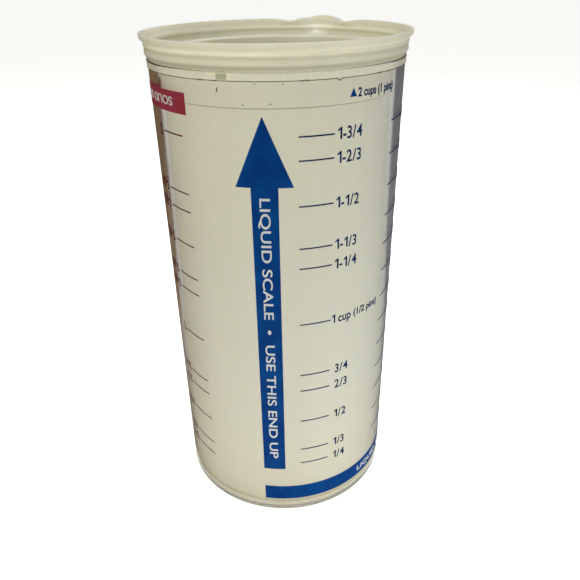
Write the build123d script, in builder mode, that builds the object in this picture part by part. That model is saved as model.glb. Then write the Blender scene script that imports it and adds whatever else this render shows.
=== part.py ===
"""Adjustable measuring cup: a clear printed sleeve around a sliding inner cup.

One way up, the inner cup holds liquids and the blue scale is read. Turned over, the
cup's closed end is a piston in the sleeve and the red scale is read. Millimetres, +Z up,
origin on the sleeve's axis in the plane of its lower edge.
"""
import os
from fractions import Fraction
from math import atan, cos, pi, radians, sin

from build123d import *

os.makedirs("parts", exist_ok=True)

# Volumes that the scales show, in cubic millimetres
CUP = 236588.0
OUNCE = CUP / 8
MILLILITRE = 1000.0
CUP_MARKS = [Fraction(n) for n in "1/4 1/3 1/2 2/3 3/4 1 5/4 4/3 3/2 5/3 7/4".split()]
OUNCE_MARKS = range(2, 15)
MILLILITRE_MARKS = range(50, 450, 50)

# Sleeve
bore_radius = 34.33
sleeve_wall = 2.17
sleeve_length = 146.4
sleeve_edge_round = 0.5
collar_height = 2.0
collar_proud = 0.25
collar_top_round = 0.2
gate_width = 2.8
gate_proud = 0.25
gate_azimuth = -111.1

# Inner cup, below its rim
cup_wall = 0.95
cup_gap = 1.23
floor_wall = 2.75
floor_lift = 0.6
floor_fillet = 5.0
wiper_width = 1.8
wiper_round = 0.45
running_clearance = 0.06
land_proud = 0.4
land_length = 8.75

# Inner cup, stepped rim
rim_overhang = 0.6
shoulder_round = 1.4
ledge_wall = 1.5
ledge_round = 0.5
rim_wall_height = 3.75
flare_height = 2.6
flare_reach = 1.3
band_height = 1.3
band_reach = 0.2
band_round = 0.7
lip_round = 0.35

# Pouring spout: a cone that leaves the rim wall and opens upwards past the flare
spout_azimuth = 67.5
spout_reach = 5.0
spout_radius = 9.0
spout_height = 4.6
spout_root_inset = 0.15

# Printing
ink_thickness = 0.1
tick_thickness = 0.4
tick_sweep = 15.0
arrow_azimuth = -96.4
arrow_shaft_width = 7.2
arrow_head_width = 15.3
arrow_head_height = 18.0
arrow_foot_gap = 19.5
arrow_tip_gap = 10.1
banner_height = 5.5
liquid_banner_gap = 5.2
liquid_banner_start = -102.0
liquid_banner_sweep = 172.0
cup_tick_start = -82.5
ounce_tick_start = -33.2
millilitre_tick_start = 15.0
full_mark_azimuth = -59.4
full_mark_drop = 6.8
full_mark_size = 2.1
solid_banner_gap = 5.7
solid_banner_start = -129.9
solid_banner_sweep = 132.0
solid_cup_tick_start = -133.3
solid_millilitre_tick_start = -182.0
solid_arrow_azimuth = 110.0

# Worked out from the sizes above
sleeve_radius = bore_radius + sleeve_wall
collar_radius = sleeve_radius + collar_proud
cup_radius = bore_radius - cup_gap
cavity_radius = cup_radius - cup_wall
wiper_radius = bore_radius - running_clearance
land_radius = cup_radius + land_proud
floor_top = floor_lift + floor_wall
rim_radius = sleeve_radius + rim_overhang
step_height = sleeve_length + rim_wall_height
flare_radius = rim_radius + flare_reach
band_radius = flare_radius - band_reach
rim_top = step_height + flare_height
ledge_height = sleeve_length + ledge_wall
rim_inner_radius = rim_radius - cup_wall
flare_inner_radius = flare_radius - cup_wall
step_inner_height = step_height + cup_wall / 2
arrow_foot = arrow_foot_gap
arrow_tip = sleeve_length - arrow_tip_gap
full_mark_foot = sleeve_length - full_mark_drop
solid_banner_foot = sleeve_length - solid_banner_gap - banner_height


def sector_plane(azimuth):
    """The upright plane through the axis at this azimuth, its x pointing outwards."""
    outward = (cos(radians(azimuth)), sin(radians(azimuth)), 0)
    sideways = (sin(radians(azimuth)), -cos(radians(azimuth)), 0)
    return Plane(origin=(0, 0, 0), x_dir=outward, z_dir=sideways)


def facing_plane(azimuth):
    """The upright plane through the axis that faces this azimuth, its x to the right."""
    sideways = (-sin(radians(azimuth)), cos(radians(azimuth)), 0)
    outward = (cos(radians(azimuth)), sin(radians(azimuth)), 0)
    return Plane(origin=(0, 0, 0), x_dir=sideways, z_dir=outward)


def ink_bar(start, sweep, foot, height):
    """A printed bar that wraps round the sleeve from the azimuth start."""
    with BuildSketch(sector_plane(min(start, start + sweep))) as section:
        with Locations((sleeve_radius + ink_thickness / 2, foot + height / 2)):
            Rectangle(ink_thickness, height)
    revolve(section.sketch, axis=Axis.Z, revolution_arc=abs(sweep))


def ink_tick(start, sweep, level):
    """A scale line whose middle is at this level."""
    ink_bar(start, sweep, level - tick_thickness / 2, tick_thickness)


def ink_shape(azimuth, *corners):
    """A printed flat shape, its corners given across and up, laid on the sleeve."""
    with BuildSketch(facing_plane(azimuth)) as outline:
        Polygon(*corners, align=None)
    extrude(outline.sketch, amount=sleeve_radius + ink_thickness + 1)
    with BuildSketch() as ink_ring:
        Circle(sleeve_radius + ink_thickness)
        Circle(sleeve_radius, mode=Mode.SUBTRACT)
    extrude(ink_ring.sketch, amount=sleeve_length, mode=Mode.INTERSECT)


def ink_arrow(azimuth, foot, tip):
    """An arrow along the sleeve from foot to tip, upwards or downwards."""
    neck = tip - arrow_head_height if tip > foot else tip + arrow_head_height
    shaft = arrow_shaft_width / 2
    head = arrow_head_width / 2
    ink_shape(
        azimuth,
        (-shaft, foot),
        (shaft, foot),
        (shaft, neck),
        (head, neck),
        (0, tip),
        (-head, neck),
        (-shaft, neck),
    )


# Scales: the liquid one fills the cup from its floor, and the solid one fills the
# sleeve from its lower edge down to the wiper once the whole is turned over.
fillet_loss = (1 - pi / 4) * floor_fillet**2 * 2 * pi * (cavity_radius - 0.2234 * floor_fillet)
cavity_area = pi * cavity_radius**2
bore_area = pi * bore_radius**2


def liquid_level(volume):
    return floor_top + (volume + fillet_loss) / cavity_area


def solid_level(volume):
    return wiper_width + volume / bore_area


def levels(marks, unit, level):
    """Heights of the marks that the sleeve is long enough to carry below its banner."""
    heights = [level(mark * unit) for mark in marks]
    return [height for height in heights if height < solid_banner_foot]


# --- outer_sleeve: a clear tube, open at both ends, with a collar at its top ----------
collar_foot = sleeve_length - collar_height
with BuildPart() as outer_sleeve:
    with BuildSketch(Plane.XZ):
        with BuildLine():
            FilletPolyline(
                (bore_radius, 0),
                (sleeve_radius, 0),
                (sleeve_radius, collar_foot),
                (collar_radius, collar_foot),
                (collar_radius, sleeve_length),
                (bore_radius, sleeve_length),
                radius=[sleeve_edge_round, 0, 0, collar_top_round],
            )
            Line((bore_radius, sleeve_length), (bore_radius, 0))
        make_face()
    revolve(axis=Axis.Z)
    # The gate mark left on the collar by the mould
    with BuildSketch(facing_plane(gate_azimuth)):
        with Locations((0, sleeve_length - collar_height / 2)):
            Rectangle(gate_width, collar_height - 2 * collar_top_round)
    extrude(amount=collar_radius + gate_proud)
    with BuildSketch():
        Circle(bore_radius)
    extrude(amount=sleeve_length, mode=Mode.SUBTRACT)
outer_sleeve.part.label = "outer_sleeve"

# --- inner_cup: closed end with a wiper, guide land, stepped rim and spout ------------
spout_centre = flare_radius + spout_reach - spout_radius
spout_root_radius = rim_radius - spout_root_inset - spout_centre
spout_lean = atan((spout_radius - spout_root_radius) / spout_height)
spout_wall = cup_wall / cos(spout_lean)
spout_foot = rim_top - spout_height
spout_axis = facing_plane(spout_azimuth).z_dir * spout_centre
with BuildPart() as inner_cup:
    with BuildSketch(Plane.XZ):
        with BuildLine():
            FilletPolyline(
                (0, floor_lift),
                (wiper_radius, floor_lift),
                (wiper_radius, floor_lift + wiper_width),
                (cup_radius, floor_lift + wiper_width),
                (cup_radius, sleeve_length - land_length),
                (land_radius, sleeve_length - land_length),
                (land_radius, sleeve_length),
                (rim_radius, sleeve_length),
                (rim_radius, step_height),
                (band_radius, rim_top - band_height),
                (flare_radius, rim_top),
                (0, rim_top),
                radius=[wiper_round, wiper_round, 0.2, 0, 0, 0, shoulder_round, 0, band_round, 0],
            )
            Line((0, rim_top), (0, floor_lift))
        make_face()
    revolve(axis=Axis.Z)
    with Locations(spout_axis + Vector(0, 0, spout_foot)):
        Cone(
            spout_root_radius,
            spout_radius,
            spout_height,
            align=(Align.CENTER, Align.CENTER, Align.MIN),
        )
    # The cavity, with its ledge and the flared mouth
    with BuildSketch(Plane.XZ):
        with BuildLine():
            FilletPolyline(
                (0, floor_top),
                (cavity_radius, floor_top),
                (cavity_radius, ledge_height),
                (rim_inner_radius, ledge_height),
                (rim_inner_radius, step_inner_height),
                (flare_inner_radius, rim_top),
                (flare_inner_radius, rim_top + 1),
                (0, rim_top + 1),
                radius=[floor_fillet, ledge_round, ledge_round, 0, 0, 0],
            )
            Line((0, rim_top + 1), (0, floor_top))
        make_face()
    revolve(axis=Axis.Z, mode=Mode.SUBTRACT)
    with Locations(spout_axis + Vector(0, 0, spout_foot)):
        Cone(
            spout_root_radius - spout_wall,
            spout_radius - spout_wall,
            spout_height,
            align=(Align.CENTER, Align.CENTER, Align.MIN),
            mode=Mode.SUBTRACT,
        )
    brim = inner_cup.faces().filter_by(Plane.XY).sort_by(Axis.Z)[-1]
    fillet(brim.edges(), lip_round)
inner_cup.part.label = "inner_cup"

# --- liquid_scale: blue print, read with the closed end of the cup down ----------------
with BuildPart() as liquid_arrow:
    ink_arrow(arrow_azimuth, arrow_foot, arrow_tip)

with BuildPart() as full_mark:
    half = full_mark_size / 2
    ink_shape(
        full_mark_azimuth,
        (-half, full_mark_foot),
        (half, full_mark_foot),
        (0, full_mark_foot + full_mark_size),
    )

with BuildPart() as liquid_scale:
    ink_bar(liquid_banner_start, liquid_banner_sweep, liquid_banner_gap, banner_height)
    for height in levels(CUP_MARKS, CUP, liquid_level):
        ink_tick(cup_tick_start, tick_sweep, height)
    for height in levels(OUNCE_MARKS, OUNCE, liquid_level):
        ink_tick(ounce_tick_start, tick_sweep, height)
    for height in levels(MILLILITRE_MARKS, MILLILITRE, liquid_level):
        ink_tick(millilitre_tick_start, tick_sweep, height)
    add(liquid_arrow.part)
    add(full_mark.part)
liquid_scale.part.label = "liquid_scale"

# --- solid_scale: red print, read with the closed end of the cup up --------------------
with BuildPart() as solid_arrow:
    ink_arrow(solid_arrow_azimuth, sleeve_length - arrow_foot, sleeve_length - arrow_tip)

with BuildPart() as solid_scale:
    ink_bar(solid_banner_start, -solid_banner_sweep, solid_banner_foot, banner_height)
    for height in levels([*CUP_MARKS, 2], CUP, solid_level):
        ink_tick(solid_cup_tick_start, -tick_sweep, height)
    for height in levels(MILLILITRE_MARKS, MILLILITRE, solid_level):
        ink_tick(solid_millilitre_tick_start, -tick_sweep, height)
    add(solid_arrow.part)
solid_scale.part.label = "solid_scale"

for piece in (outer_sleeve, inner_cup, liquid_scale, solid_scale):
    export_step(piece.part, f"parts/{piece.part.label}.step")
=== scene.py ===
"""The looks of an adjustable measuring cup: a clear printed sleeve around a cream cup."""
import math
from fractions import Fraction

import bmesh
import bpy
from mathutils import Matrix, Vector


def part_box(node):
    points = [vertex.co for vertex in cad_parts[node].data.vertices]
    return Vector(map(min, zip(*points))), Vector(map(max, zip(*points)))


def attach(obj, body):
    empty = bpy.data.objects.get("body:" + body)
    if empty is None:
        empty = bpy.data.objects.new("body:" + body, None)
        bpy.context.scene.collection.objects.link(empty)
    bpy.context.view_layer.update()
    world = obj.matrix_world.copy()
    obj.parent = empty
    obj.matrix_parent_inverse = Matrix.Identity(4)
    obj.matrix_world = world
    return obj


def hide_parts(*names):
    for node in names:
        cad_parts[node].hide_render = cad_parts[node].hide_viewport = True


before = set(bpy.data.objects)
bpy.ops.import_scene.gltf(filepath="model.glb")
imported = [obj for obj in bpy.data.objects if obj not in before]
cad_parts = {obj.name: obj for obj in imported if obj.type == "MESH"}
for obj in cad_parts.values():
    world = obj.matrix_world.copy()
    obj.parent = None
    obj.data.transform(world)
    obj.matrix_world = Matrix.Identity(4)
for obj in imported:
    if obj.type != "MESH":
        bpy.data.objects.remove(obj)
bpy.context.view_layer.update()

MM = 0.001

# ---- Sizes, in millimetres and degrees, the heights taken from the frame -----------------
SLEEVE_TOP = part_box("outer_sleeve")[1].z / MM
RIM_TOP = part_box("inner_cup")[1].z / MM
FLOOR_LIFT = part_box("inner_cup")[0].z / MM
COLLAR_RADIUS_CAD = -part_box("outer_sleeve")[0].x / MM

BORE_RADIUS = 34.33
SLEEVE_RADIUS = 36.5
COLLAR_PROUD = 0.25
COLLAR_HEIGHT = 2.0
GATE_AZIMUTH = -111.1
GATE_WIDTH = 2.8
GATE_PROUD = 0.25
FLASH_AZIMUTH = -66.0
FLASH_DROP = 0.6
FLASH_WIDTH = 1.5
# The radius of the painted shade bead under the collar.
SHADE_BEAD_RADIUS = 0.12

CUP_WALL = 0.95
CUP_RADIUS = 33.1
CAVITY_RADIUS = CUP_RADIUS - CUP_WALL
WALL_MIDDLE = 32.5
LAND_RADIUS = 33.5
LAND_FOOT = SLEEVE_TOP - 8.75
WIPER_RADIUS = BORE_RADIUS - 0.06
WIPER_WIDTH = 1.8
FLOOR_TOP = FLOOR_LIFT + 2.75
FLOOR_ROUND = 5.0
# From a square corner to the middle of what its rounding takes off, as a share of the radius.
CORNER_CENTROID = 0.2234
RIM_RADIUS = 37.1
SHOULDER = 0.75
SHOULDER_RISE = 1.4
LEDGE_HEIGHT = SLEEVE_TOP + 1.5
STEP_HEIGHT = SLEEVE_TOP + 3.75
BEAD_RISE = 0.22
FLARE_RADIUS = 38.4
BAND_FOOT = RIM_TOP - 1.3
LIP_ROUND = 0.22

SPOUT_AZIMUTH = 67.5
SPOUT_RADIUS = 9.0
SPOUT_CENTRE = FLARE_RADIUS + 4.6 - SPOUT_RADIUS
SPOUT_SLOPE = 0.95
SPOUT_WALL = 1.6
SPOUT_RISE = 0.6
SPOUT_DIP = 0.6
SPOUT_TUCK = 1.1
SPOUT_BLEND = 0.6
SPOUT_HUMP_TURN = 5.5
SPOUT_DIP_TURN = 15.5
SPOUT_DIP_WIDTH = 5.0

ROUND_STEPS = 720
EDGE_LENGTH = 0.4
SHARP_ANGLE = 35

# ---- The prints: films of ink, their volumes in cubic millimetres -------------------------
INK = 0.06
INK_LIFT = 0.02
TURN_STEP = 1.0
TICK = 0.4
TICK_LENGTH = 9.55
ARROW_LENGTH = 116.8
ARROW_HEAD = 18.0
ARROW_HALF_WIDTH = 7.65
SHAFT_HALF_WIDTH = 3.6

# Where arrows and banners start on the sleeve: azimuth and height.
LIQUID_ARROW = (-96.4, 19.5)
SOLID_ARROW = (110, 10.1)
LIQUID_BANNER = (-102, 5.35)
SOLID_BANNER = (-261.9, SLEEVE_TOP - 11.2)

# Where the ticks and the numerals of each column start round the sleeve.
CUP_TICKS = -82.5
CUP_FRACTIONS = -64.6
CUP_MIXED_NUMBERS = -66.3
OUNCE_TICKS = -33.2
OUNCE_NUMERALS = -16.5
MILLILITRE_TICKS = 15
MILLILITRE_NUMERALS = 32
SOLID_CUP_TICKS = -148.3
SOLID_CUP_NUMERALS = -150
SOLID_MILLILITRE_TICKS = -197
SOLID_MILLILITRE_NUMERALS = -199

FONT_CAPITALS = 0.7
LETTER_WEIGHT = 0.075
LETTER_STRETCH = 0.8
NUMERAL = 3.1
NUMERAL_GAP = 0.28
ARROW_LETTERS = 2.75
ARROW_WORDS = 91.0
FLAGGED_ONE = ((0.26, 0), (0.43, 0), (0.43, 1), (0.31, 1), (0.04, 0.8), (0.04, 0.65), (0.26, 0.77))

CUP_VOLUME = 236588.0
CUP_MARKS = [Fraction(n) for n in "1/4 1/3 1/2 2/3 3/4 1 5/4 4/3 3/2 5/3 7/4 2".split()]
CUP_NAMES = "1/4 1/3 1/2 2/3 3/4 1 1-1/4 1-1/3 1-1/2 1-2/3 1-3/4 2".split()
OUNCES = range(2, 15)
MILLILITRES = range(50, 450, 50)


# ---- Materials ---------------------------------------------------------------------------
class Value:
    """A number or colour inside a material, so that shader maths reads as plain sums."""

    def __init__(self, finish, socket):
        self.finish = finish
        self.socket = socket

    def _math(self, operation, *values):
        return self.finish.node("ShaderNodeMath", {"operation": operation}, dict(enumerate(values)))

    def __add__(self, other):
        return self._math("ADD", self, other)

    def __sub__(self, other):
        return self._math("SUBTRACT", self, other)

    def __rsub__(self, other):
        return self._math("SUBTRACT", other, self)

    def __mul__(self, other):
        return self._math("MULTIPLY", self, other)

    def __truediv__(self, other):
        return self._math("DIVIDE", self, other)

    def __pow__(self, other):
        return self._math("POWER", self, other)

    __radd__ = __add__
    __rmul__ = __mul__

    def held(self):
        """The value kept between 0 and 1."""
        return self._math("MINIMUM", self._math("MAXIMUM", self, 0.0), 1.0)

    def near(self, centre, reach):
        """1 where the value is at the centre, falling to 0 at this reach on either side."""
        return (1 - ((self - centre) / reach) ** 2).held()


class Finish:
    """A material, or the world, being made from nodes."""

    def __init__(self, owner):
        self.owner = owner
        owner.use_nodes = True
        self.tree = owner.node_tree
        self.tree.nodes.clear()

    def node(self, kind, settings=None, inputs=None, output=0):
        """Adds one node: its settings first, then what its sockets hold or are linked to."""
        made = self.tree.nodes.new(kind)
        for key, value in (settings or {}).items():
            setattr(made, key, value)
        for key, value in (inputs or {}).items():
            if isinstance(value, Value):
                self.tree.links.new(value.socket, made.inputs[key])
            else:
                made.inputs[key].default_value = value
        return Value(self, made.outputs[output] if made.outputs else None)

    def place(self):
        """Where a point is on its piece, in metres."""
        return self.node("ShaderNodeTexCoord", output="Object")

    def ray(self, fact):
        """One fact about the ray that meets the surface."""
        return self.node("ShaderNodeLightPath", output=fact)

    def axis(self, vector, index):
        return self.node("ShaderNodeSeparateXYZ", None, {0: vector}, index)

    def noise(self, scale, detail, stretch=(1, 1, 1)):
        where = self.node(
            "ShaderNodeVectorMath", {"operation": "MULTIPLY"}, {0: self.place(), 1: stretch}
        )
        return self.node("ShaderNodeTexNoise", None, {"Vector": where, "Scale": scale, "Detail": detail})

    def mix(self, share, first, second):
        """Two colours mixed by a share that varies."""
        return self.node(
            "ShaderNodeMix", {"data_type": "RGBA"}, {0: share, 6: first, 7: second}, 2
        )

    def bump(self, height, distance, strength):
        return self.node(
            "ShaderNodeBump", None, {"Height": height, "Distance": distance, "Strength": strength}
        )

    def principled(self, inputs):
        return self.node("ShaderNodeBsdfPrincipled", None, inputs)

    def surface(self, shader, ending="ShaderNodeOutputMaterial"):
        """Ends the material, or the world, with this shader."""
        self.node(ending, None, {"Surface": shader})
        return self.owner


def new_finish(name):
    return Finish(bpy.data.materials.new(name))


def linear(red, green, blue):
    """A display colour, 0 to 255, as the linear colour that shaders take."""
    channels = [channel / 255 for channel in (red, green, blue)]
    return (*(((c + 0.055) / 1.055) ** 2.4 if c > 0.04045 else c / 12.92 for c in channels), 1)


def clear_plastic():
    """Clear glassy plastic that lets lamp light and scattered light straight through."""
    made = new_finish("clear_plastic")
    haze = made.noise(60, 3, (1, 1, 0.3))
    scratches = made.noise(900, 2, (1, 1, 0.05))
    solid = made.principled(
        {
            "Base Color": (0.985, 0.99, 0.985, 1),
            "Roughness": (haze * 0.03 + 0.01).held(),
            "IOR": 1.49,
            "Transmission Weight": 1.0,
            "Normal": made.bump(scratches, 0.00001, 0.2),
        }
    )
    open_way = made.node("ShaderNodeBsdfTransparent", None, {"Color": (0.985, 0.985, 0.98, 1)})
    lamp = made.ray("Is Shadow Ray")
    bounce = made.ray("Is Diffuse Ray")
    lit = made.node("ShaderNodeMixShader", None, {0: lamp, 1: solid, 2: open_way})
    return made.surface(made.node("ShaderNodeMixShader", None, {0: bounce, 1: lit, 2: open_way}))


def cream_plastic():
    """Cream plastic, cloudy and flow-marked, with painted light and shade bands where the rim is thick
    or thin, painted shade under the rim and a painted shadow line under the land.
    """
    made = new_finish("cream_plastic")
    where = made.place()
    height = made.axis(where, 2)
    cloud = made.noise(18, 3)
    flow = made.noise(240, 4, (1, 1, 0.06))
    warmth = ((0.05 - height) / 0.06).held() * 0.5 + cloud * 0.35
    colour = made.mix(warmth.held(), linear(228, 228, 214), linear(226, 218, 196))
    colour = made.mix((flow * 0.5 - 0.15).held(), colour, linear(210, 208, 190))
    across = made.axis(where, 0)
    along = made.axis(where, 1)
    spread = across * across + along * along
    rim_outside = ((spread - (LAND_RADIUS * MM) ** 2) / 0.0001).held()
    # Painted shade: a dark band on the shoulder just above the sleeve's top, where the rim's underside
    # is in shade.
    painted_shoulder_shade = height.near((SLEEVE_TOP + 0.7) * MM, 0.9 * MM) * rim_outside
    colour = made.mix(painted_shoulder_shade * 0.75, colour, linear(168, 164, 134))
    # Painted light and shade round the rim: a painted shade band on the flare above the step, a painted
    # shade band on the wall below it and a painted highlight line at the step.
    for level, reach, share, tint in (
        (STEP_HEIGHT + 1.35, 0.8, 0.35, linear(214, 208, 178)),
        (STEP_HEIGHT - 0.75, 0.6, 0.55, linear(196, 194, 168)),
        (STEP_HEIGHT + 0.2, 0.6, 1.0, linear(255, 250, 226)),
    ):
        painted_rim_band = height.near(level * MM, reach * MM)
        colour = made.mix(painted_rim_band * share, colour, tint)
    # Painted shadow: a dark line on the cup's outside just under the land's step.
    wall_outside = ((spread - (WALL_MIDDLE * MM) ** 2) / 0.00001).held()
    painted_land_shadow = height.near(LAND_FOOT * MM, 0.22 * MM) * wall_outside
    colour = made.mix(painted_land_shadow * 0.7, colour, linear(120, 116, 92))
    grain = made.noise(2600, 3)
    return made.surface(
        made.principled(
            {
                "Base Color": colour,
                "Roughness": (flow * 0.16 + 0.26).held(),
                "IOR": 1.49,
                "Subsurface Weight": 0.6,
                "Subsurface Radius": (1.0, 0.9, 0.6),
                "Subsurface Scale": 0.0025,
                "Normal": made.bump(grain, 0.00002, 0.25),
            }
        )
    )


def milky_band():
    """The matt skin on the collar, which lets half the light through; its pale colour is painted light,
    standing in for light refracted through the collar's top ring.
    """
    made = new_finish("matt_lit_collar")
    streak = made.noise(900, 3, (1, 1, 3))
    return made.surface(
        made.principled(
            {
                "Base Color": made.mix(streak, linear(246, 245, 224), linear(240, 238, 214)),
                "Roughness": 0.5,
                "Alpha": (streak * 0.3 + 0.5).held(),
            }
        )
    )


def grime():
    """Dark patchy colour: painted shade in the corner under the collar, and dark flecks."""
    made = new_finish("painted_corner_shade_and_flecks")
    patches = made.noise(700, 4)
    return made.surface(
        made.principled(
            {
                "Base Color": made.mix(patches, linear(120, 116, 92), linear(70, 66, 52)),
                "Roughness": (patches * 0.3 + 0.5).held(),
                "Alpha": (patches * 1.5 - 0.05).held(),
            }
        )
    )


def ink_finish(name, base_tone, patch_tone):
    """Printing ink, patchy between a deep and a worn colour, or a small piece painted in its light or
    shade, patchy between two tones.
    """
    made = new_finish(name)
    patches = made.noise(160, 4)
    colour = made.mix((patches * 1.6 - 0.5).held(), base_tone, patch_tone)
    specks = made.noise(3200, 2)
    return made.surface(
        made.principled(
            {
                "Base Color": colour,
                "Roughness": (patches * 0.2 + 0.35).held(),
                "Specular IOR Level": 0.06,
                "Normal": made.bump(specks, 0.00001, 0.3),
            }
        )
    )


# ---- Mesh tools -----------------------------------------------------------------------------
def rounded(corners, closed, steps=6):
    """Points along an outline of (radius, height, rounding) corners, with tangent arcs."""
    points = []
    last = len(corners) - 1
    for index, (radius, height, rounding) in enumerate(corners):
        here = Vector((radius, height))
        if not rounding or (not closed and index in (0, last)):
            points.append(here)
            continue
        back = (Vector(corners[index - 1][:2]) - here).normalized()
        onward = (Vector(corners[(index + 1) % len(corners)][:2]) - here).normalized()
        half = back.angle(onward) / 2
        centre = here + (back + onward).normalized() * rounding / math.sin(half)
        start = here + back * rounding / math.tan(half) - centre
        end = here + onward * rounding / math.tan(half) - centre
        sweep = math.atan2(start.x * end.y - start.y * end.x, start.dot(end))
        for step in range(steps + 1):
            turn = Matrix.Rotation(sweep * step / steps, 2)
            points.append(centre + turn @ start)
    return points


def divided(points, closed, lowest):
    """The outline with long runs above the height lowest cut into shorter ones."""
    result = []
    count = len(points)
    for index in range(count if closed else count - 1):
        first, second = points[index], points[(index + 1) % count]
        result.append(first)
        if min(first.y, second.y) >= lowest:
            cuts = int((second - first).length / EDGE_LENGTH)
            for cut in range(1, cuts + 1):
                result.append(first.lerp(second, cut / (cuts + 1)))
    if not closed:
        result.append(points[-1])
    return result


def lathed(name, outline, closed, segments=ROUND_STEPS, shape=None):
    """A solid of revolution from an outline; shape(radius, height, azimuth, index) may move a point."""
    mesh = bmesh.new()
    rings = []
    for index, point in enumerate(outline):
        if point.x < 1e-6:
            rings.append([mesh.verts.new((0, 0, point.y * MM))] * segments)
            continue
        ring = []
        for segment in range(segments):
            azimuth = 360 * segment / segments
            radius, height = point.x, point.y
            if shape:
                radius, height = shape(radius, height, azimuth, index)
            angle = math.radians(azimuth)
            ring.append(
                mesh.verts.new(
                    (radius * math.cos(angle) * MM, radius * math.sin(angle) * MM, height * MM)
                )
            )
        rings.append(ring)
    pairs = list(zip(rings, rings[1:]))
    if closed:
        pairs.append((rings[-1], rings[0]))
    for low, high in pairs:
        for segment in range(segments):
            after = (segment + 1) % segments
            corners = [low[segment], low[after], high[after], high[segment]]
            face = list(dict.fromkeys(corners))
            if len(face) > 2:
                mesh.faces.new(face)
    bmesh.ops.recalc_face_normals(mesh, faces=mesh.faces)
    return made_piece(name, mesh)


def made_piece(name, mesh):
    data = bpy.data.meshes.new(name)
    mesh.to_mesh(data)
    mesh.free()
    data.shade_smooth()
    data.set_sharp_from_angle(angle=math.radians(SHARP_ANGLE))
    piece = bpy.data.objects.new(name, data)
    bpy.context.scene.collection.objects.link(piece)
    return piece


def finished(piece, material, body, slot, *nodes):
    """Gives a piece its material and its body, and hides the CAD nodes that it stands for. The slot is
    not used.
    """
    piece.data.materials.clear()
    piece.data.materials.append(material)
    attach(piece, body)
    if nodes:
        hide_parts(*nodes)


def smooth_step(low, high, value):
    share = min(max((value - low) / (high - low), 0.0), 1.0)
    return share * share * (3 - 2 * share)


def smooth_max(first, second, blend):
    return (first + second + math.hypot(first - second, blend)) / 2


def turn_between(azimuth, other):
    """The signed turn from other to azimuth, between -180 and 180 degrees."""
    return (azimuth - other + 180) % 360 - 180


def way_round(azimuth, other):
    """How far apart two azimuths are along the sleeve's outside, in millimetres."""
    return abs(math.radians(turn_between(azimuth, other)) * SLEEVE_RADIUS)


# ---- Sleeve ---------------------------------------------------------------------------------
def gate_share(azimuth):
    """1 across the gate's raised pad, 0 beside it."""
    edge = GATE_WIDTH / 2
    return 1 - smooth_step(edge - 0.25, edge + 0.1, way_round(azimuth, GATE_AZIMUTH))


def flash_share(azimuth):
    """1 at the tip of the flash under the collar, 0 beside it."""
    return max(1 - way_round(azimuth, FLASH_AZIMUTH) / (FLASH_WIDTH / 2), 0)


def sleeve():
    """The clear tube with its collar, the gate's pad and the flash under the collar."""
    collar_foot = SLEEVE_TOP - COLLAR_HEIGHT
    collar_radius = SLEEVE_RADIUS + COLLAR_PROUD
    outline = rounded(
        [
            (BORE_RADIUS, 0, 0.15),
            (SLEEVE_RADIUS, 0, 0.5),
            (SLEEVE_RADIUS, collar_foot, 0.08),
            (collar_radius, collar_foot, 0.1),
            (collar_radius, SLEEVE_TOP, 0.2),
            (BORE_RADIUS, SLEEVE_TOP, 0.3),
        ],
        closed=True,
        steps=5,
    )
    outline = divided(outline, True, collar_foot - 0.2)

    def shape(radius, height, azimuth, index):
        if radius < SLEEVE_RADIUS - 0.2 or height < collar_foot - 0.5:
            return radius, height
        pad = gate_share(azimuth) * smooth_step(collar_foot, collar_foot + 0.2, height)
        low = 1 - smooth_step(collar_foot, collar_foot + 0.6, height)
        return radius + GATE_PROUD * pad, height - FLASH_DROP * flash_share(azimuth) * low
    return lathed("sleeve_shell", outline, True, shape=shape)


def collar_skin():
    """The collar's matt outside, broken at the gate, painted pale as painted light."""
    foot = SLEEVE_TOP - COLLAR_HEIGHT + 0.15
    radius = SLEEVE_RADIUS + COLLAR_PROUD + 0.03
    outline = [Vector((radius, foot + (SLEEVE_TOP - 0.3 - foot) * n / 6)) for n in range(7)]

    def shape(radius, height, azimuth, index):
        return radius + GATE_PROUD * gate_share(azimuth), height
    return lathed("collar_skin", outline, False, shape=shape)


def gate_scar():
    """Where the moulding was cut from its gate: a raised pad, painted in the colour of the shade under
    the shoulder, between two painted highlights along the collar's top edge.
    """
    half = GATE_WIDTH / 2
    foot = 0.25
    top = COLLAR_HEIGHT - 0.3
    pad = flat_shape(
        (-half, foot), (half, foot + 0.1), (half - 0.15, top), (0.1, top - 0.15), (-half + 0.1, top)
    )
    # The outline of the painted highlight on each side of the pad.
    glint_outline = ((0.2, 1.25), (2.6, 1.45), (3.6, 1.6), (2.4, 1.75), (0.3, 1.7))
    left = flat_shape(*((-half - x, y) for x, y in reversed(glint_outline)))
    right = flat_shape(*((half + x, y) for x, y in glint_outline))
    meshes = [pad, left, right]
    lift = COLLAR_PROUD + GATE_PROUD + 0.04
    for mesh, rise in zip(meshes, (lift, lift - GATE_PROUD, lift - GATE_PROUD)):
        wrapped(mesh, GATE_AZIMUTH, SLEEVE_TOP - COLLAR_HEIGHT, rise)
    return joined("gate_pad", meshes[:1]), joined("gate_glints", meshes[1:])


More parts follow.
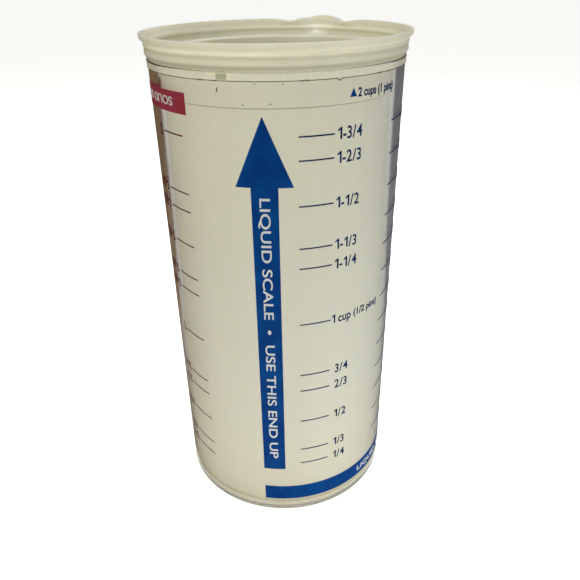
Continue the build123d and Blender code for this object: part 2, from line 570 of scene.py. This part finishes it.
def corner_line():
    """A thin uneven dark bead where the collar steps out from the sleeve: painted shade under the step.
    """
    middle = Vector((SLEEVE_RADIUS + 0.13, SLEEVE_TOP - COLLAR_HEIGHT - 0.05))
    ring = [
        middle + SHADE_BEAD_RADIUS * Vector((math.cos(turn), math.sin(turn)))
        for turn in (2 * math.pi * n / 8 for n in range(8))
    ]

    def shape(radius, height, azimuth, index):
        turn = math.radians(azimuth)
        swell = max(math.sin(17 * turn) * math.sin(31 * turn + 1) * math.sin(5 * turn + 2) - 0.35, 0)
        tip = flash_share(azimuth)
        grown = 1 + 1.6 * swell + 0.6 * (tip > 0)
        grown_height = middle.y + (height - middle.y) * grown
        return middle.x + (radius - middle.x) * grown, grown_height - 0.8 * FLASH_DROP * tip
    return lathed("corner_line", ring, True, shape=shape)


def marks():
    """The nick and the flecks below the sleeve's collar, as dark flat marks on its outside."""
    meshes = []
    for azimuth, below_top, width, tall, lean in (
        (-114.2, 4.9, 0.3, 1.3, 0.25),
        (-104.0, 7.6, 0.5, 0.25, 0.1),
        (-93.6, 7.3, 0.7, 0.2, 0.2),
        (-99.0, 2.7, 0.5, 0.2, 0.1),
        (-88.5, 2.8, 0.6, 0.2, 0.0),
    ):
        fleck = flat_shape(
            (0, 0),
            (width * 0.7, 0),
            (width + lean, tall * 0.6),
            (width * 0.5 + lean, tall),
            (lean, tall),
        )
        meshes.append(wrapped(fleck, azimuth, SLEEVE_TOP - below_top))
    return joined("sleeve_marks", meshes)


# ---- Inner cup ------------------------------------------------------------------------------
def spout_side(height, azimuth, wall):
    """How far out the spout's cone reaches at this height and azimuth."""
    turn = math.radians(turn_between(azimuth, SPOUT_AZIMUTH))
    cone = SPOUT_RADIUS - SPOUT_SLOPE * (RIM_TOP - height) - wall
    inside = cone**2 - (SPOUT_CENTRE * math.sin(turn)) ** 2
    if inside <= 0 or cone <= 0 or abs(turn) > math.pi / 2:
        return 0.0
    return SPOUT_CENTRE * math.cos(turn) + math.sqrt(inside)


def inner_cup():
    """The cream cup: closed end with its wiper bead, wall, land, stepped rim and spout."""
    outer = rounded(
        [
            (0, FLOOR_LIFT, 0),
            (WIPER_RADIUS, FLOOR_LIFT, 0.45),
            (WIPER_RADIUS, FLOOR_LIFT + WIPER_WIDTH, 0.45),
            (CUP_RADIUS, FLOOR_LIFT + WIPER_WIDTH, 0.3),
            (CUP_RADIUS, LAND_FOOT, 0.15),
            (LAND_RADIUS, LAND_FOOT, 0.15),
            (LAND_RADIUS, SLEEVE_TOP, 0),
            (RIM_RADIUS - SHOULDER, SLEEVE_TOP, 0),
            (RIM_RADIUS + 0.1, SLEEVE_TOP + SHOULDER_RISE, 0.4),
            (RIM_RADIUS - 0.05, STEP_HEIGHT - 0.9, 0.4),
            (RIM_RADIUS + BEAD_RISE, STEP_HEIGHT - 0.15, 0.15),
            (RIM_RADIUS - 0.1, STEP_HEIGHT + 0.5, 0.25),
            (FLARE_RADIUS - 0.35, BAND_FOOT, 0.6),
            (FLARE_RADIUS, RIM_TOP, LIP_ROUND),
            (FLARE_RADIUS - CUP_WALL, RIM_TOP, 0),
        ],
        closed=False,
    )
    inner = rounded(
        [
            (FLARE_RADIUS - 0.4, RIM_TOP, 0),
            (FLARE_RADIUS - CUP_WALL, RIM_TOP, LIP_ROUND),
            (RIM_RADIUS - CUP_WALL, STEP_HEIGHT + 0.45, 0.2),
            (RIM_RADIUS - CUP_WALL, LEDGE_HEIGHT, 0.5),
            (CAVITY_RADIUS, LEDGE_HEIGHT, 0.5),
            (CAVITY_RADIUS, FLOOR_TOP, FLOOR_ROUND),
            (0, FLOOR_TOP, 0),
        ],
        closed=False,
    )
    outer = divided(outer[:-1], False, SLEEVE_TOP + 0.1)
    inner = divided(inner[1:], False, LEDGE_HEIGHT + 0.1)
    outline = outer + inner
    first_inner = len(outer)

    def shape(radius, height, azimuth, index):
        if height < LEDGE_HEIGHT + 0.05:
            return radius, height
        wall = SPOUT_WALL if index >= first_inner else 0.0
        share = smooth_step(LEDGE_HEIGHT, LEDGE_HEIGHT + 0.7, height)
        side = smooth_max(radius, spout_side(height, azimuth, wall), SPOUT_BLEND)
        idle = smooth_max(radius, 0.0, SPOUT_BLEND)
        radius += (side - idle) * share
        turn = abs(turn_between(azimuth, SPOUT_AZIMUTH))
        high = smooth_step(RIM_TOP - 2.2, RIM_TOP, height)
        hump = math.exp(-((turn / SPOUT_HUMP_TURN) ** 4))
        dip = math.exp(-(((turn - SPOUT_DIP_TURN) / SPOUT_DIP_WIDTH) ** 2))
        radius -= SPOUT_TUCK * dip * smooth_step(STEP_HEIGHT, RIM_TOP - 0.6, height)
        return radius, height + (SPOUT_RISE * hump - SPOUT_DIP * dip) * high
    return lathed("cup_body", outline, False, shape=shape)


# ---- Printing -------------------------------------------------------------------------------
def flat_shape(*corners):
    """A flat printed shape from its corners, (across, up) in millimetres."""
    mesh = bmesh.new()
    mesh.faces.new([mesh.verts.new((x * MM, y * MM, 0)) for x, y in corners])
    return mesh


def flat_bar(width, height):
    return flat_shape((0, 0), (width, 0), (width, height), (0, height))


def flat_arrow(upward):
    """The long arrow, its foot at the origin, or its point where it doesn't point upward."""
    shaft = ARROW_LENGTH - ARROW_HEAD
    corners = [
        (-SHAFT_HALF_WIDTH, 0),
        (SHAFT_HALF_WIDTH, 0),
        (SHAFT_HALF_WIDTH, shaft),
        (ARROW_HALF_WIDTH, shaft),
        (0, ARROW_LENGTH),
        (-ARROW_HALF_WIDTH, shaft),
        (-SHAFT_HALF_WIDTH, shaft),
    ]
    if not upward:
        corners = [(x, ARROW_LENGTH - y) for x, y in reversed(corners)]
    return flat_shape(*corners)


def wrapped(mesh, azimuth, level, lift=INK_LIFT):
    """Lays a flat print on the sleeve, its origin at this azimuth and height."""
    low = min(v.co.x for v in mesh.verts)
    high = max(v.co.x for v in mesh.verts)
    step = math.radians(TURN_STEP) * SLEEVE_RADIUS * MM
    for cut in range(math.floor(low / step) + 1, math.ceil(high / step)):
        bmesh.ops.bisect_plane(
            mesh,
            geom=mesh.verts[:] + mesh.edges[:] + mesh.faces[:],
            plane_co=(cut * step, 0, 0),
            plane_no=(1, 0, 0),
        )
    thick = bmesh.ops.extrude_face_region(mesh, geom=mesh.faces[:])
    raised = [item for item in thick["geom"] if isinstance(item, bmesh.types.BMVert)]
    bmesh.ops.translate(mesh, verts=raised, vec=(0, 0, INK * MM))
    for vert in mesh.verts:
        angle = math.radians(azimuth) + vert.co.x / (SLEEVE_RADIUS * MM)
        radius = (SLEEVE_RADIUS + lift) * MM + vert.co.z
        vert.co = (radius * math.cos(angle), radius * math.sin(angle), level * MM + vert.co.y)
    bmesh.ops.recalc_face_normals(mesh, faces=mesh.faces)
    return mesh


def gathered(meshes):
    """One mesh from several."""
    whole = bmesh.new()
    for mesh in meshes:
        part = bpy.data.meshes.new("part")
        mesh.to_mesh(part)
        mesh.free()
        whole.from_mesh(part)
        bpy.data.meshes.remove(part)
    return whole


def joined(name, meshes):
    """One piece from several meshes."""
    return made_piece(name, gathered(meshes))


def letters(words, cap_height, weight=LETTER_WEIGHT, length=None):
    """Flat lettering with its lower left corner at the origin, drawn out to a length if given."""
    text = bpy.data.curves.new("letters", "FONT")
    text.body = words
    text.size = cap_height * MM / FONT_CAPITALS
    text.offset = weight * MM
    text.fill_mode = "FRONT"
    holder = bpy.data.objects.new("letters", text)
    bpy.context.scene.collection.objects.link(holder)
    bpy.context.view_layer.update()
    seen = holder.evaluated_get(bpy.context.evaluated_depsgraph_get())
    data = bpy.data.meshes.new_from_object(seen)
    mesh = bmesh.new()
    mesh.from_mesh(data)
    bmesh.ops.remove_doubles(mesh, verts=mesh.verts, dist=1e-7)
    bpy.data.objects.remove(holder)
    bpy.data.curves.remove(text)
    bpy.data.meshes.remove(data)
    left = min(v.co.x for v in mesh.verts)
    bmesh.ops.translate(mesh, verts=mesh.verts, vec=(-left, 0, 0))
    width = max(v.co.x for v in mesh.verts)
    stretch = length * MM / width if length else LETTER_STRETCH
    bmesh.ops.scale(mesh, verts=mesh.verts, vec=(stretch, 1, 1))
    return mesh


def numeral(words, cap_height):
    """A number's flat characters, its ones drawn with a flag and the rest from the font."""
    shapes = []
    pen = 0.0
    for character in words:
        if character == "1":
            shape = flat_shape(*((x * cap_height, y * cap_height) for x, y in FLAGGED_ONE))
        else:
            shape = letters(character, cap_height)
        bmesh.ops.translate(shape, verts=shape.verts, vec=(pen, 0, 0))
        pen = max(v.co.x for v in shape.verts) + NUMERAL_GAP * MM
        shapes.append(shape)
    return gathered(shapes)


def turned(mesh, degrees):
    bmesh.ops.rotate(mesh, verts=mesh.verts, matrix=Matrix.Rotation(math.radians(degrees), 3, "Z"))
    return mesh


def arrow_words(words, degrees):
    """Lettering that runs along an arrow, turned a quarter this way or that and centred on it."""
    mesh = turned(letters(words, ARROW_LETTERS, 0.04, ARROW_WORDS), degrees)
    shift = math.copysign(ARROW_LETTERS / 2, degrees) * MM
    bmesh.ops.translate(mesh, verts=mesh.verts, vec=(shift, 0, 0))
    return mesh


def tick(azimuth, level):
    return wrapped(flat_bar(TICK_LENGTH, TICK), azimuth, level - TICK / 2)


def upright(words, azimuth, level):
    """A numeral for the liquid scale, its middle at this level."""
    return wrapped(numeral(words, NUMERAL), azimuth, level - NUMERAL / 2)


def upended(words, azimuth, level):
    """A numeral for the solid scale, which is read with the sleeve turned over."""
    return wrapped(turned(numeral(words, NUMERAL), 180), azimuth, level + NUMERAL / 2)


def liquid_level(volume):
    """How high this much liquid stands in the cup, whose floor has a rounded corner."""
    corner_area = (1 - math.pi / 4) * FLOOR_ROUND**2
    corner_path = 2 * math.pi * (CAVITY_RADIUS - CORNER_CENTROID * FLOOR_ROUND)
    return FLOOR_TOP + (volume + corner_area * corner_path) / (math.pi * CAVITY_RADIUS**2)


def solid_level(volume):
    """Where the closed end's wiper stops for this much of a solid in the turned sleeve."""
    return WIPER_WIDTH + volume / (math.pi * BORE_RADIUS**2)


def printed(piece, material, slot):
    """A film on the sleeve, too thin to shade what is behind it."""
    finished(piece, material, "sleeve", slot)
    piece.visible_shadow = False
    piece.visible_diffuse = False


def banner(turn, height):
    """A plain band that goes this many degrees round the sleeve."""
    return flat_bar(math.radians(turn) * SLEEVE_RADIUS, height)


def liquid_print(ink, fine, bare):
    """The blue scale: cups at the front, then ounces and millilitres round to the right."""
    ticks = []
    numerals = []
    for mark, name in zip(CUP_MARKS[:-1], CUP_NAMES):
        level = liquid_level(mark * CUP_VOLUME)
        ticks.append(tick(CUP_TICKS, level))
        if name == "1":
            numerals.append(wrapped(numeral("1", 2.9), -67.1, level - 1.3))
            numerals.append(wrapped(letters("cup", 2.9), -63.6, level - 1.3))
            numerals.append(wrapped(letters("(1/2 pint)", 2.3, length=11.0), -54.6, level - 1.0))
        else:
            start = CUP_MIXED_NUMBERS if name[:2] == "1-" else CUP_FRACTIONS
            numerals.append(upright(name, start, level))
    for ounce in OUNCES:
        level = liquid_level(ounce * CUP_VOLUME / 8)
        ticks.append(tick(OUNCE_TICKS, level))
        numerals.append(upright(str(ounce), OUNCE_NUMERALS, level))
    for amount in MILLILITRES:
        level = liquid_level(amount * 1000)
        ticks.append(tick(MILLILITRE_TICKS, level))
        numerals.append(upright(str(amount), MILLILITRE_NUMERALS, level))
    full_words = letters("2 cups (1 pint)", 2.15, 0.085)
    numerals.append(wrapped(full_words, -57.1, SLEEVE_TOP - 6.9))
    full_mark = flat_shape((-1.05, 0), (1.05, 0), (0, 2.1))
    pieces = [
        joined("liquid_ticks", ticks),
        joined("liquid_numerals", numerals),
        joined("liquid_full_mark", [wrapped(full_mark, -59.4, SLEEVE_TOP - 6.8)]),
        joined("liquid_arrow", [wrapped(flat_arrow(True), *LIQUID_ARROW)]),
        joined("liquid_banner", [wrapped(banner(172, 6.0), *LIQUID_BANNER)]),
    ]
    for piece in pieces:
        printed(piece, fine if piece in pieces[:2] else ink, "blue_ink")
    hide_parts("liquid_scale")
    along = arrow_words("LIQUID SCALE  \u2022  USE THIS END UP", -90)
    around = letters("LIQUID SCALE  \u2022  CUPS AND OUNCES", 2.2, 0.03, length=72.0)
    lettering = [
        wrapped(along, LIQUID_ARROW[0], 115.5, INK_LIFT + INK),
        wrapped(around, -46, 7.2, INK_LIFT + INK),
    ]
    printed(joined("liquid_words", lettering), bare, "cream_plastic")


def solid_print(ink, fine, bare):
    """The red scale, upside down: cups to the left, then millilitres, and the arrow behind."""
    ticks = []
    numerals = []
    for mark, name in zip(CUP_MARKS, CUP_NAMES):
        level = solid_level(mark * CUP_VOLUME)
        ticks.append(tick(SOLID_CUP_TICKS, level))
        numerals.append(upended(name, SOLID_CUP_NUMERALS, level))
    for amount in MILLILITRES:
        level = solid_level(amount * 1000)
        ticks.append(tick(SOLID_MILLILITRE_TICKS, level))
        numerals.append(upended(str(amount), SOLID_MILLILITRE_NUMERALS, level))
    pieces = [
        joined("solid_ticks", ticks),
        joined("solid_numerals", numerals),
        joined("solid_arrow", [wrapped(flat_arrow(False), *SOLID_ARROW)]),
        joined("solid_banner", [wrapped(banner(132, 5.5), *SOLID_BANNER)]),
    ]
    for piece in pieces:
        printed(piece, fine if piece in pieces[:2] else ink, "red_ink")
    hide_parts("solid_scale")
    along = arrow_words("SOLID SCALE  \u2022  USE THIS END UP", 90)
    around = turned(letters("SOLID SCALE  \u2022  CUPS LEVEL", 2.2, 0.03, length=52.0), 180)
    lettering = [
        wrapped(along, SOLID_ARROW[0], 31.0, INK_LIFT + INK),
        wrapped(around, -138, SLEEVE_TOP - 7.3, INK_LIFT + INK),
    ]
    printed(joined("solid_words", lettering), bare, "cream_plastic")


# ---- Studio ---------------------------------------------------------------------------------
def pale_floor():
    """White paper that glows a little round the cup, and is dull to light from far off."""
    made = new_finish("pale_floor")
    paper = made.noise(30, 3)
    tone = made.mix(paper, (0.86, 0.86, 0.85, 1), (0.9, 0.9, 0.89, 1))
    seen = made.ray("Is Camera Ray")
    away = made.node("ShaderNodeVectorMath", {"operation": "LENGTH"}, {0: made.place()}, 1)
    near = (1 - (away - 0.09) / 0.17).held()
    tone = made.mix((seen + near).held(), (0.22, 0.22, 0.22, 1), tone)
    clear = ((away - 0.038) / 0.015).held()
    glow = made.mix(near * clear, (0.02, 0.02, 0.02, 1), (0.5, 0.5, 0.485, 1))
    return made.surface(
        made.principled(
            {
                "Base Color": tone,
                "Roughness": 0.9,
                "IOR": 1.3,
                "Emission Color": made.mix(seen, glow, (0.7, 0.7, 0.69, 1)),
                "Emission Strength": 1.0,
            }
        )
    )


def backdrop():
    """A white world to look at, which lights the cup as a dim room."""
    made = Finish(bpy.data.worlds.new("studio"))
    tint = made.mix(made.ray("Is Camera Ray"), (0.27, 0.267, 0.259, 1), (1, 1, 1, 1))
    shader = made.node("ShaderNodeBackground", None, {"Color": tint})
    return made.surface(shader, "ShaderNodeOutputWorld")


def studio():
    scene = bpy.context.scene
    scene.view_settings.view_transform = "Standard"
    mesh = bmesh.new()
    bmesh.ops.create_grid(mesh, x_segments=8, y_segments=8, size=8)
    floor = made_piece("floor", mesh)
    floor.location.z = -0.00005
    floor.data.materials.append(pale_floor())
    dark_surround()
    scene.world = backdrop()
    soft_light("key", (-0.25, -0.5, 0.38), 0.35, 1.1, (1, 0.965, 0.89))
    soft_light("back", (0.22, 0.5, 0.5), 0.3, 1.4, (1, 0.98, 0.94))
    soft_light("top", (0.0, 0.08, 0.75), 0.3, 1.5, (1, 0.99, 0.95))
    for name, place, power, colour in (
        ("low_front", (0.06, -0.24, 0.012), 0.17, (1, 1, 0.98)),
        ("low_right", (0.22, -0.04, 0.012), 0.24, (0.97, 1, 1)),
        ("low_left", (-0.22, -0.08, 0.012), 0.07, (1, 0.88, 0.66)),
    ):
        low = soft_light(name, place, 0.12, power, colour, 0.03)
        low.visible_glossy = False
        low.visible_transmission = False


def dark_surround():
    """Dark cards round the table, met only by what the clear wall mirrors or bends.

    Past both walls of the sleeve they are light, so that an empty sleeve looks clear.
    """
    made = new_finish("dark_cards")
    across = made.axis(made.place(), 0)
    tone = made.mix((across * 6 + 0.5).held(), linear(118, 95, 70), linear(114, 114, 118))
    blotch = made.noise(14, 3)
    tone = made.mix((blotch * 2.4 - 0.9).held(), tone, linear(84, 74, 66))
    passed = made.ray("Transmission Depth")
    tone = made.mix((passed - 3.0).held(), tone, linear(218, 216, 208))
    cards = lathed(
        "dark_cards",
        [Vector(p) for p in ((37.2, 0.3), (300, 0.3), (420, 60), (470, 300), (420, 620))],
        False,
        64,
    )
    cards.data.materials.append(
        made.surface(made.node("ShaderNodeEmission", None, {"Color": tone, "Strength": 1.0}))
    )
    cards.visible_camera = False
    cards.visible_diffuse = False
    cards.visible_shadow = False


def soft_light(name, place, size, power, colour, aim=0.08):
    """A round soft light that faces a point on the cup's axis, this high."""
    data = bpy.data.lights.new(name, "AREA")
    data.shape = "DISK"
    data.size = size
    data.energy = power
    data.color = colour
    light = bpy.data.objects.new(name, data)
    bpy.context.scene.collection.objects.link(light)
    light.location = place
    towards = Vector((0, 0, aim)) - Vector(place)
    light.rotation_euler = towards.to_track_quat("-Z", "Y").to_euler()
    return light


def camera():
    """The camera, in front of the cup and looking down on it."""
    pitch, yaw, roll = math.radians(-28.928), math.radians(0.946), math.radians(-0.978)
    forward = Vector(
        (math.sin(yaw) * math.cos(pitch), math.cos(yaw) * math.cos(pitch), math.sin(pitch))
    )
    level = Vector((math.cos(yaw), -math.sin(yaw), 0))
    above = level.cross(forward)
    right = math.cos(roll) * level + math.sin(roll) * above
    top = -math.sin(roll) * level + math.cos(roll) * above
    data = bpy.data.cameras.new("camera")
    data.sensor_width = 36
    data.lens = 36.11
    data.clip_start = 0.01
    made = bpy.data.objects.new("camera", data)
    bpy.context.scene.collection.objects.link(made)
    turn = Matrix((right, top, -forward)).transposed().to_4x4()
    made.matrix_world = Matrix.Translation((-0.0003, -0.17933, 0.16745)) @ turn
    bpy.context.scene.camera = made


def main():
    cream = cream_plastic()
    blue = ink_finish("blue_ink", linear(0, 52, 118), linear(0, 76, 146))
    red = ink_finish("red_ink", linear(146, 48, 64), linear(154, 66, 80))
    finished(sleeve(), clear_plastic(), "sleeve", "clear_plastic", "outer_sleeve")
    # The collar's pale skin: painted light for what its top ring refracts.
    printed(collar_skin(), milky_band(), "clear_plastic")
    # Painted shade for the corner under the collar, also the colour of the dark flecks.
    shaded_corner_and_flecks = grime()
    pad, glints = gate_scar()
    # The gate pad's colour is painted shade.
    shaded_pad_plastic = ink_finish("shaded_gate_plastic", linear(176, 176, 146), linear(196, 195, 166))
    printed(pad, shaded_pad_plastic, "clear_plastic")
    # Painted highlights beside the pad, along the collar's top edge.
    painted_glint_plastic = ink_finish("painted_glint_plastic", linear(246, 244, 214), linear(240, 238, 200))
    printed(glints, painted_glint_plastic, "clear_plastic")
    printed(corner_line(), shaded_corner_and_flecks, "clear_plastic")
    printed(marks(), shaded_corner_and_flecks, "clear_plastic")
    finished(inner_cup(), cream, "cup", "cream_plastic", "inner_cup")
    bare = ink_finish("bare_lettering", linear(214, 216, 212), linear(196, 200, 200))
    fine_blue = ink_finish("fine_blue_ink", linear(16, 38, 74), linear(14, 52, 96))
    fine_red = ink_finish("fine_red_ink", linear(80, 32, 36), linear(104, 46, 52))
    liquid_print(blue, fine_blue, bare)
    solid_print(red, fine_red, bare)
    studio()
    camera()


main()
